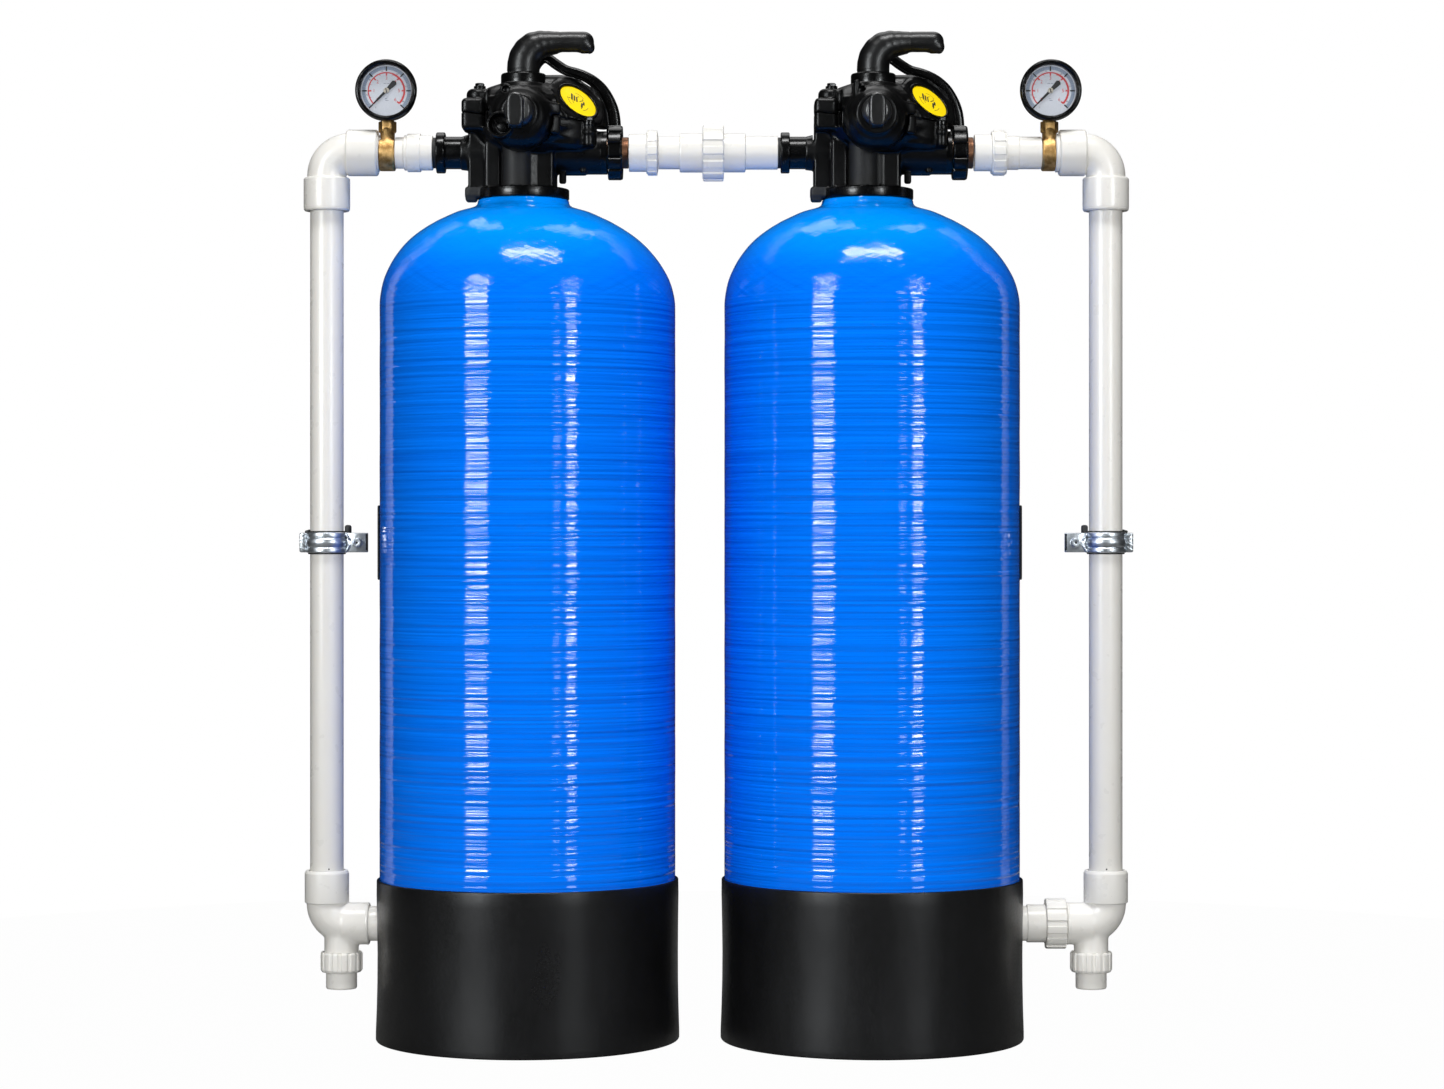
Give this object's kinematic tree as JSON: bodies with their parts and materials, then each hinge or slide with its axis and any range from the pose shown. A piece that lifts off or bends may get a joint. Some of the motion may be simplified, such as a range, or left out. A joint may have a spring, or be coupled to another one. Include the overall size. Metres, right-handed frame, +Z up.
{
  "type": "duplex pressure vessel water filter",
  "caption": "Twin filament-wound pressure vessels in base boots, joined by pipework with lever-operated filter valves, dial gauges, pipe clamps and drains.",
  "frame": {"origin": "on the floor under the middle of the whole set", "axes": "+Z up, +X to the right along the row of tanks as seen from the front, -Y to the front where the gauges face"},
  "size_m": [0.8648, 0.3148, 1.0436],
  "materials": {
    "tank_blue": "glossy gelcoat over hoop winding",
    "boot_black": "satin moulded",
    "valve_black": "semi-gloss moulded",
    "lever_black": "glossy moulded",
    "pvc_white": "semi-gloss",
    "brass": "cast and machined",
    "copper_thread": "machined",
    "gauge_black": "gloss black",
    "dial_white": "printed scale",
    "needle_black": "satin",
    "gauge_glass": "clear",
    "zinc": "bright zinc plate",
    "rubber_black": "matte",
    "inner_plastic": "moulded"
  },
  "bodies": {
    "filter_set": {"tank_L": "tank_blue", "boot_L": "boot_black", "distributor_L": "inner_plastic", "valve_body_L": "valve_black", "valve_cover_L": "valve_black", "valve_bridge_L": "valve_black", "port_nut_L": "valve_black", "port_nipple_L": "copper_thread", "gauge_tee_L": "brass", "gauge_case_L": "gauge_black", "gauge_dial_L": "dial_white", "gauge_lens_L": "gauge_glass", "port_adaptor_L": "pvc_white", "top_elbow_L": "pvc_white", "riser_L": "pvc_white", "bottom_elbow_L": "pvc_white", "drain_nut_L": "pvc_white", "drain_stub_L": "pvc_white", "clamp_band_L": "zinc", "clamp_liner_L": "rubber_black", "clamp_screw_L": "zinc", "clamp_saddle_L": "rubber_black", "tank_R": "tank_blue", "boot_R": "boot_black", "distributor_R": "inner_plastic", "valve_body_R": "valve_black", "valve_cover_R": "valve_black", "valve_bridge_R": "valve_black", "port_nut_R": "valve_black", "port_nipple_R": "copper_thread", "gauge_tee_R": "brass", "gauge_case_R": "gauge_black", "gauge_dial_R": "dial_white", "gauge_lens_R": "gauge_glass", "port_adaptor_R": "pvc_white", "top_elbow_R": "pvc_white", "riser_R": "pvc_white", "bottom_elbow_R": "pvc_white", "drain_nut_R": "pvc_white", "drain_stub_R": "pvc_white", "clamp_band_R": "zinc", "clamp_liner_R": "rubber_black", "clamp_screw_R": "zinc", "clamp_saddle_R": "rubber_black", "inlet_stub_L": "pvc_white", "inlet_tail_R": "pvc_white", "inlet_nut_R": "pvc_white", "link_adaptor": "pvc_white", "link_pipe": "pvc_white", "union_end_L": "pvc_white", "union_nut": "pvc_white", "union_end_R": "pvc_white"},
    "lever_L": {"valve_lever_L": "lever_black", "valve_spindle_L": "inner_plastic"},
    "knob_L": {"valve_knob_L": "valve_black"},
    "needle_L": {"gauge_needle_L": "needle_black"},
    "lever_R": {"valve_lever_R": "lever_black", "valve_spindle_R": "inner_plastic"},
    "knob_R": {"valve_knob_R": "valve_black"},
    "needle_R": {"gauge_needle_R": "needle_black"}
  },
  "joints": [
    {"name": "lever_turn_L", "type": "hinge", "parent": "filter_set", "child": "lever_L", "pos_m": [-0.2002, 0, 1], "axis": [0, 0, 1], "range_deg": [-120, 0]},
    {"name": "knob_turn_L", "type": "hinge", "parent": "filter_set", "child": "knob_L", "pos_m": [-0.2002, -0.085, 0.952], "axis": [0, -1, 0], "range_deg": [0, 90]},
    {"name": "needle_turn_L", "type": "hinge", "parent": "filter_set", "child": "needle_L", "pos_m": [-0.3414, -0.0124, 0.9816], "axis": [0, 1, 0], "range_deg": [0, 270], "stiffness_Nm_per_rad": 0.0002},
    {"name": "lever_turn_R", "type": "hinge", "parent": "filter_set", "child": "lever_R", "pos_m": [0.163, 0, 1], "axis": [0, 0, 1], "range_deg": [-120, 0]},
    {"name": "knob_turn_R", "type": "hinge", "parent": "filter_set", "child": "knob_R", "pos_m": [0.163, -0.085, 0.952], "axis": [0, -1, 0], "range_deg": [0, 90]},
    {"name": "needle_turn_R", "type": "hinge", "parent": "filter_set", "child": "needle_R", "pos_m": [0.3458, -0.0124, 0.9816], "axis": [0, 1, 0], "range_deg": [0, 270], "stiffness_Nm_per_rad": 0.0002}
  ]
}
